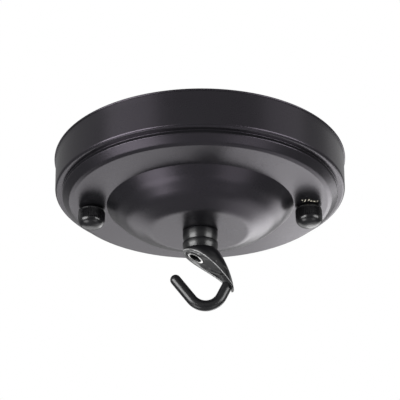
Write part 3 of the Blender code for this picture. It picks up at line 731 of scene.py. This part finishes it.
# %% Turn the cap nuts
NUT_RADIUS = 4.87 * MM
NUT_LENGTH = 7.35 * MM
NUT_BORE_DEPTH = 5.5 * MM
NUT_MOUTH = 3.9 * MM
NUT_BAND = 1.1 * MM
NUT_GROOVE = 0.14 * MM
NUT_CROWN = 2.9 * MM
CROWN_STEP = 0.2 * MM
CROWN_POWERS = (0.68, 1.15)  # of its width and its height; 1 and 1 would make the end an ellipse
BAND_STEP = 0.02 * MM
MOUTH_CHAMFER = 0.3 * MM
KNURL_RIBS = 40
KNURL_ROWS = 18
KNURL_DEPTH = 0.3 * MM


def cap_nut_outline():
    """From the bore's end out to the mouth, over the band, down the knurl and round the crown."""
    knurl_top = NUT_TOP - NUT_BAND
    knurl_bottom = NUT_TOP - NUT_LENGTH + NUT_CROWN
    band = NUT_RADIUS - BAND_STEP
    groove = band - NUT_GROOVE
    points = [(0.0, NUT_TOP - NUT_BORE_DEPTH), (SCREW_HOLE_RADIUS, NUT_TOP - NUT_BORE_DEPTH),
              (SCREW_HOLE_RADIUS, NUT_TOP - MOUTH_CHAMFER), (SCREW_HOLE_RADIUS + MOUTH_CHAMFER, NUT_TOP),
              (NUT_MOUTH, NUT_TOP), (NUT_MOUTH + 0.35 * MM, NUT_TOP - 0.12 * MM),
              (band - 0.2 * MM, NUT_TOP - 0.4 * MM), (band, NUT_TOP - 0.65 * MM),
              (band, knurl_top + 0.3 * MM), (groove, knurl_top + 0.2 * MM), (groove, knurl_top + 0.1 * MM)]
    for i in range(KNURL_ROWS + 1):
        points.append((NUT_RADIUS, knurl_top + (knurl_bottom - knurl_top) * i / KNURL_ROWS))
    width_power, height_power = CROWN_POWERS
    crown = NUT_CROWN - CROWN_STEP
    for degrees in range(0, 91, 5):
        angle = math.radians(degrees)
        points.append((band * max(math.cos(angle), 0.0) ** width_power,
                       knurl_bottom - CROWN_STEP - crown * math.sin(angle) ** height_power))
    return points


def knurled(radius, z):
    """1 on the rows of the grip, 0 elsewhere."""
    return 1.0 if radius > NUT_RADIUS - BAND_STEP / 2 else 0.0


for side, x in (("left", -NUT_X), ("right", NUT_X)):
    nut = turn_piece(f"knurled_nut_{side}", cap_nut_outline(), 8 * KNURL_RIBS, nut_paint,
                     ribbed=knurled, ribs=KNURL_RIBS, depth=KNURL_DEPTH)
    nut.data.transform(Matrix.Translation((x, 0.0, 0.0)))
    face_outwards(nut, 40)
    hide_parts(f"cap_nut_{side}")
    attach(nut, f"nut_{side}")

# %% [markdown]
# ## Threads
#
# Seen from above, the open cup shows two long screws and the hollow tube, and all three are threaded.
# A thread is one rib that climbs as it goes round: the same tree makes it with one rib and the number
# of turns in a metre. The screws' driver slots are then cut with a Boolean.

# %% The fixing screws
SCREW_SEAT = -3.7 * MM
SCREW_TIP = -22.2 * MM
SCREW_RADIUS = 2.0 * MM
SCREW_PITCH = 0.7 * MM
SCREW_POINT = 0.4 * MM
SCREW_SIDES = 40
SCREW_THREAD_DEPTH = 0.4 * MM
THREAD_FADE = 0.8 * MM
SCREW_HEAD_RADIUS = 3.75 * MM
SCREW_HEAD_HEIGHT = 2.4 * MM
HEAD_EDGE = 0.15 * MM
HEAD_SIDE = 0.35  # the straight share of the head's height
SLOT_WIDTH = 1.0 * MM
SLOT_DEPTH = 1.1 * MM
ROWS_PER_TURN = 8


def fixing_screw_outline():
    """From the tip's centre up the thread, under the head and over its crown."""
    points = [(0.0, SCREW_TIP), (SCREW_RADIUS - SCREW_POINT, SCREW_TIP)]
    shank = SCREW_SEAT - SCREW_TIP - SCREW_POINT
    rows = round(shank / SCREW_PITCH * ROWS_PER_TURN)
    for i in range(rows + 1):
        points.append((SCREW_RADIUS, SCREW_TIP + SCREW_POINT + shank * i / rows))
    points += [(SCREW_HEAD_RADIUS - HEAD_EDGE, SCREW_SEAT), (SCREW_HEAD_RADIUS, SCREW_SEAT + HEAD_EDGE)]
    for degrees in range(0, 91, 9):
        angle = math.radians(degrees)
        points.append((SCREW_HEAD_RADIUS * math.cos(angle),
                       SCREW_SEAT + SCREW_HEAD_HEIGHT * (HEAD_SIDE + (1 - HEAD_SIDE) * math.sin(angle))))
    return points


def box_tool(name, low, high):
    """A block between two corners, to cut with."""
    bm = bmesh.new()
    bmesh.ops.create_cube(bm, size=1.0)
    for vertex in bm.verts:
        vertex.co = Vector(near if c < 0 else far for near, far, c in zip(low, high, vertex.co))
    mesh = bpy.data.meshes.new(name)
    bm.to_mesh(mesh)
    bm.free()
    tool = bpy.data.objects.new(name, mesh)
    bpy.context.scene.collection.objects.link(tool)
    return tool


def threaded(radius, z):
    """1 on the screw's shank, fading in from its tip and out a little below its head."""
    if abs(radius - SCREW_RADIUS) > 0.001 * MM:
        return 0.0
    return max(0.0, min(1.0, (z - SCREW_TIP) / THREAD_FADE, (SCREW_SEAT - z) / THREAD_FADE - 0.5))


for side, x in (("left", -NUT_X), ("right", NUT_X)):
    screw = turn_piece(f"threaded_screw_{side}", fixing_screw_outline(), SCREW_SIDES, zinc_steel,
                       ribbed=threaded, ribs=1, turns_per_metre=1 / SCREW_PITCH, depth=SCREW_THREAD_DEPTH)
    head_top = SCREW_SEAT + SCREW_HEAD_HEIGHT
    slot = box_tool("driver_slot", (-SLOT_WIDTH / 2, -5 * MM, head_top - SLOT_DEPTH),
                    (SLOT_WIDTH / 2, 5 * MM, head_top + MM))
    face_outwards(screw, 40)
    combine(screw, [slot], "DIFFERENCE")
    screw.data.transform(Matrix.Translation((x, 0.0, 0.0)))
    face_outwards(screw, 40)
    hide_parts(f"fixing_screw_{side}")
    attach(screw, "bracket")

# %% The threaded tube
TUBE_TOP = -19.2 * MM
TUBE_BOTTOM = -33.3 * MM
TUBE_RADIUS = 4.95 * MM
TUBE_BORE_RADIUS = 3.8 * MM
TUBE_PITCH = 1.0 * MM
TUBE_CHAMFER = 0.38 * MM
TUBE_BORE_CHAMFER = 0.1 * MM
TUBE_SIDES = 80
TUBE_THREAD_DEPTH = 0.55 * MM


def tube_outline():
    """A closed section: up the thread, over the chamfered top, and down the plain bore."""
    low, high = TUBE_BOTTOM + TUBE_CHAMFER, TUBE_TOP - TUBE_CHAMFER
    rows = round((high - low) / TUBE_PITCH * ROWS_PER_TURN)
    points = [(TUBE_BORE_RADIUS, TUBE_BOTTOM), (TUBE_RADIUS - TUBE_CHAMFER, TUBE_BOTTOM)]
    points += [(TUBE_RADIUS, low + (high - low) * i / rows) for i in range(rows + 1)]
    points += [(TUBE_RADIUS - TUBE_CHAMFER, TUBE_TOP), (TUBE_BORE_RADIUS + TUBE_BORE_CHAMFER, TUBE_TOP),
               (TUBE_BORE_RADIUS, TUBE_TOP - TUBE_BORE_CHAMFER), (TUBE_BORE_RADIUS, TUBE_BOTTOM)]
    return points


def tube_thread(radius, z):
    """1 on the tube's outer rows, fading in at both ends."""
    if abs(radius - TUBE_RADIUS) > 0.001 * MM:
        return 0.0
    return max(0.0, min(1.0, (z - TUBE_BOTTOM) / MM - 0.2, (TUBE_TOP - z) / MM - 0.2))


tube = turn_piece("threaded_pipe", tube_outline(), TUBE_SIDES, zinc_steel,
                  ribbed=tube_thread, ribs=1, turns_per_metre=1 / TUBE_PITCH, depth=TUBE_THREAD_DEPTH)
face_outwards(tube, 40)
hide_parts("threaded_tube")
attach(tube, "cover")

# %% [markdown]
# ## The hook
#
# The hook is one casting: a collar of two beads, a hollow leaf like half a horn with a lipped cable
# hole in it, and a round arm. Each part follows a rule, so each is skinned from loops: the collar from
# a turned outline, the leaf from level ovals whose sizes follow smooth curves, the arm from circles
# along a bent line. They are joined and hollowed in millimetres, and then remeshed in voxels and
# smoothed a little. That melts the joins together, as a casting's corners do, and leaves a rim that
# catches the light.

# %% Sizes of the hook
# Millimetres here, made metres at the end
COLLAR_TOP = -27.1
COLLAR_BEADS = (4.2, 3.2)
NECK_RADIUS = 5.7
COLLAR_RADIUS = 6.45
COLLAR_EDGE = 0.25
BORE_RADIUS = 5.25
BORE_FLOOR = -33.6
NECK = NECK_Z / MM
LEAF_LENGTH = 15.1
LEAF_SPINE = (0.0, 4.65, 5.25)
LEAF_HALF_WIDTHS = (6.45, 9.9, 2.45, 7.85)
LEAF_WALL = 0.9
LEAF_TIP_WALL = 0.45
LIP_EDGE = 0.25
LIP_ROOT = 0.3
ARM_RADIUS = 1.925
ARM_BEND_RADIUS = 6.2
ARM_BEND_CENTRE = (1.7, 14.4)
ARM_ROOT_ANGLE = math.radians(62.6)
ARM_ROOT_LENGTH = 5.15
ARM_TIP_ANGLE = math.radians(52.2)
ARM_TIP_LENGTH = 9.3
MARGIN = 4.0
FINE_SIDES = 120


def skin(name, loops):
    """A closed body from a run of equal loops, capped at both ends."""
    bm = bmesh.new()
    rows = [[bm.verts.new(point) for point in loop] for loop in loops]
    for near, far in zip(rows, rows[1:]):
        for i, vertex in enumerate(near):
            after = (i + 1) % len(near)
            bm.faces.new((vertex, near[after], far[after], far[i]))
    bm.faces.new(rows[0])
    bm.faces.new(rows[-1])
    bmesh.ops.recalc_face_normals(bm, faces=bm.faces)
    mesh = bpy.data.meshes.new(name)
    bm.to_mesh(mesh)
    bm.free()
    body = bpy.data.objects.new(name, mesh)
    bpy.context.scene.collection.objects.link(body)
    return body


def level_circle(radius, z):
    """A level loop about the canopy's axis."""
    turns = (2 * math.pi * i / FINE_SIDES for i in range(FINE_SIDES))
    return [Vector((radius * math.cos(a), radius * math.sin(a), z)) for a in turns]


print("hook from", COLLAR_TOP, "to", NECK - LEAF_LENGTH, "mm")

# %% The collar
BEAD_FULL = 0.15  # the share of a bead's height in which it keeps its full width
BEAD_STEPS = 16


def collar_outline():
    """Each bead is widest at its top edge and rounds in to the neck below it."""
    points = []
    top = COLLAR_TOP
    flare = COLLAR_RADIUS - NECK_RADIUS
    for height in COLLAR_BEADS:
        full = BEAD_FULL * height
        for degrees in range(0, 91, 15):
            angle = math.radians(degrees)
            points.append((COLLAR_RADIUS - COLLAR_EDGE * (1 - math.sin(angle)),
                           top - COLLAR_EDGE * (1 - math.cos(angle))))
        for i in range(1, BEAD_STEPS + 1):
            share = i / BEAD_STEPS
            points.append((COLLAR_RADIUS - flare * share ** 2, top - full - (height - full) * share))
        top -= height
    points[-1] = (NECK_RADIUS, NECK - 2 * COLLAR_EDGE)
    return points


print("collar outline:", len(collar_outline()), "points")

# %% The leaf
BELLY_POWER = 1.9
TIP_POWER = 5
LEAF_LEAST_HALF = 0.1
LEAF_STEPS = 60
FIRST_LEAF_STEP = 3  # the rounded top edge takes the place of those before it
LEAF_STEP_POWER = 0.9
SCOOP_STEPS = 40
SCOOP_START = 0.02
SCOOP_RUN = 0.88
HOLE_SIDES = 72


def blend(points, share):
    """A smooth curve led by its control values, at a share of its run."""
    last = len(points) - 1
    return sum(math.comb(last, i) * (1 - share) ** (last - i) * share ** i * point
               for i, point in enumerate(points))


def leaf_section(share, inset=0.0):
    """The leaf's level section at a share of its length: an oval that narrows and moves over to +X."""
    spine = COLLAR_RADIUS + blend(LEAF_SPINE, share)
    belly = -COLLAR_RADIUS + (2 * COLLAR_RADIUS + LEAF_SPINE[-1]) * share ** BELLY_POWER
    half_width = blend(LEAF_HALF_WIDTHS, share) * math.sqrt(1 - share ** TIP_POWER)
    middle = (spine + belly) / 2
    reach = max((spine - belly) / 2 - inset, LEAF_LEAST_HALF)
    width = max(half_width - inset, LEAF_LEAST_HALF)
    z = NECK - LEAF_LENGTH * share
    turns = (2 * math.pi * i / FINE_SIDES for i in range(FINE_SIDES))
    return [Vector((middle + reach * math.cos(a), width * math.sin(a), z)) for a in turns]


def leaf_form():
    """The leaf before its hollow is cut, under a softened top edge."""
    loops = []
    for degrees in (0, 30, 60, 90):
        angle = math.radians(degrees)
        small = (COLLAR_RADIUS - COLLAR_EDGE * (1 - math.sin(angle))) / COLLAR_RADIUS
        loop = [point * small for point in leaf_section(0.0)]
        for point in loop:
            point.z = NECK - COLLAR_EDGE * (1 - math.cos(angle))
        loops.append(loop)
    for i in range(FIRST_LEAF_STEP, LEAF_STEPS + 1):
        loops.append(leaf_section((i / LEAF_STEPS) ** LEAF_STEP_POWER))
    return skin("leaf", loops)


def hole_loop(reach, radius):
    """A loop round the cable hole's sloping axis, that far along it from the hole's place."""
    side = Vector((math.cos(SCOOP_ANGLE), 0.0, -math.sin(SCOOP_ANGLE)))
    across = Vector((0.0, 1.0, 0.0))
    middle = HOLE_PLACE / MM + HOLE_AXIS * reach
    turns = (2 * math.pi * i / HOLE_SIDES for i in range(HOLE_SIDES))
    return [middle + (side * math.cos(a) + across * math.sin(a)) * radius for a in turns]


def scoop_tool():
    """The hollow of the leaf: what is inside its wall, below the sloping face."""
    loops = []
    for i in range(SCOOP_STEPS + 1):
        share = SCOOP_START + SCOOP_RUN * i / SCOOP_STEPS
        loops.append(leaf_section(share, LEAF_WALL + (LEAF_TIP_WALL - LEAF_WALL) * share))
    tool = skin("scoop", loops)
    bm = bmesh.new()
    bm.from_mesh(tool.data)
    parts = list(bm.verts) + list(bm.edges) + list(bm.faces)
    made = bmesh.ops.bisect_plane(bm, geom=parts, plane_co=HOLE_PLACE / MM, plane_no=HOLE_AXIS,
                                  clear_inner=True)
    bmesh.ops.contextual_create(bm, geom=[e for e in made["geom_cut"] if isinstance(e, bmesh.types.BMEdge)])
    bmesh.ops.recalc_face_normals(bm, faces=bm.faces)
    bm.to_mesh(tool.data)
    bm.free()
    return tool


def lip_form():
    """The raised lip round the cable hole, with a rounded edge."""
    lip, high = (HOLE_RADIUS + LIP_WIDTH) / MM, LIP_HEIGHT / MM
    loops = [hole_loop(-LIP_ROOT, lip)]
    for degrees in (0, 30, 60, 90):
        angle = math.radians(degrees)
        reach = high - LIP_EDGE * (1 - math.sin(angle))
        loops.append(hole_loop(reach, lip - LIP_EDGE * (1 - math.cos(angle))))
    return skin("lip", loops)


print("leaf", LEAF_LENGTH, "mm long")

# %% The rim, the hole and the arm
RIM_STEPS = 48
HOLE_BACK = 9.0
HOLE_FLARE = 4.0
ARM_STEPS = 60
ARM_SIDES = 64


def rim_tool():
    """Everything on the lower left of the leaf's sloping rim, whose line is one curve of three points."""
    start, bend, end = (Vector((x, NECK - down)) for x, down in RIM_LINE)
    shares = (i / RIM_STEPS for i in range(RIM_STEPS + 1))
    curve = [start * (1 - t) ** 2 + bend * 2 * t * (1 - t) + end * t ** 2 for t in shares]
    before = start + (start - bend).normalized() * MARGIN
    beyond = end - Vector((0.0, MARGIN))
    outline = [before] + curve + [beyond, Vector((before.x, beyond.y))]
    far = max(LEAF_HALF_WIDTHS) + MARGIN
    return skin("rim", [[Vector((p.x, y, p.y)) for p in outline] for y in (-far, far)])


def hole_tool():
    """The cable hole, from the lip up into the collar's bore, with a chamfered mouth."""
    radius, chamfer = HOLE_RADIUS / MM, LIP_HEIGHT / MM - LIP_EDGE
    mouth = hole_loop(chamfer + HOLE_FLARE, radius + HOLE_FLARE)
    return skin("hole", [hole_loop(-HOLE_BACK, radius), hole_loop(chamfer, radius), mouth])


def arm_form():
    """The round arm from its root in the leaf, round the bend, to a ball-shaped tip."""
    centre = Vector((ARM_BEND_CENTRE[0], NECK - ARM_BEND_CENTRE[1]))
    path = []
    for i in range(ARM_STEPS + 1):
        angle = ARM_ROOT_ANGLE - (ARM_ROOT_ANGLE + ARM_TIP_ANGLE) * i / ARM_STEPS
        path.append(centre + Vector((math.sin(angle), -math.cos(angle))) * ARM_BEND_RADIUS)
    path.insert(0, path[0] + Vector((math.cos(ARM_ROOT_ANGLE), math.sin(ARM_ROOT_ANGLE))) * ARM_ROOT_LENGTH)
    path.append(path[-1] + Vector((-math.cos(ARM_TIP_ANGLE), math.sin(ARM_TIP_ANGLE))) * ARM_TIP_LENGTH)
    loops = []

    def add_loop(middle, run, reach):
        """One round loop across the arm."""
        side = Vector((run.y, -run.x))
        loop = []
        for i in range(ARM_SIDES):
            angle = 2 * math.pi * i / ARM_SIDES
            flat = middle + side * (reach * math.cos(angle))
            loop.append(Vector((flat.x, reach * math.sin(angle), flat.y)))
        loops.append(loop)

    add_loop(path[0], (path[1] - path[0]).normalized(), ARM_RADIUS)
    for before, here, after in zip(path, path[1:], path[2:]):
        add_loop(here, (after - before).normalized(), ARM_RADIUS)
    last = (path[-1] - path[-2]).normalized()
    for degrees in range(0, 86, 8):
        angle = math.radians(degrees)
        add_loop(path[-1] + last * (ARM_RADIUS * math.sin(angle)), last, ARM_RADIUS * math.cos(angle))
    return skin("arm", loops)


print("arm", 2 * ARM_RADIUS, "mm thick")

# %% Join, cut and melt the hook
VOXEL = 0.17
SMOOTHING = 4


def melt(piece):
    """Voxel remesh and a little smoothing, so that corners round over as in a casting."""
    remesh = piece.modifiers.new("remesh", "REMESH")
    remesh.mode = "VOXEL"
    remesh.voxel_size = VOXEL
    smooth = piece.modifiers.new("smooth", "SMOOTH")
    smooth.factor = 0.5
    smooth.iterations = SMOOTHING
    settle(piece)


hook = skin("lamp_hook", [level_circle(radius, z) for radius, z in collar_outline()])
combine(hook, [leaf_form()], "UNION", "MANIFOLD")
scoop = scoop_tool()
combine(scoop, [lip_form()], "DIFFERENCE", "MANIFOLD")
bore = skin("bore", [level_circle(BORE_RADIUS, z) for z in (COLLAR_TOP + MARGIN, BORE_FLOOR)])
combine(hook, [bore, scoop, rim_tool(), hole_tool()], "DIFFERENCE", "MANIFOLD")
combine(hook, [arm_form()], "UNION", "MANIFOLD")
melt(hook)
hook.data.transform(Matrix.Scale(MM, 4))
hook.data.materials.clear()
hook.data.materials.append(hook_paint)
face_outwards(hook, 180)
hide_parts("hook")
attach(hook, "cover")

# %% [markdown]
# ## Pieces kept from the measured part
#
# The crossbar, the hexagon nuts, the washers and the earth screw are right as they are. They stay, and
# get their finish.

# %% Finish the kept pieces
KEPT = {"crossbar": zinc_steel, "fixing_lock_nut_left": zinc_steel, "fixing_lock_nut_right": zinc_steel,
        "toothed_washer": zinc_steel, "tube_nut": zinc_steel, "earth_washer": zinc_steel,
        "earth_screw": brass}
for name, material in KEPT.items():
    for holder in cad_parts[name].material_slots:
        holder.material = material
    print(name, "in", material.name)
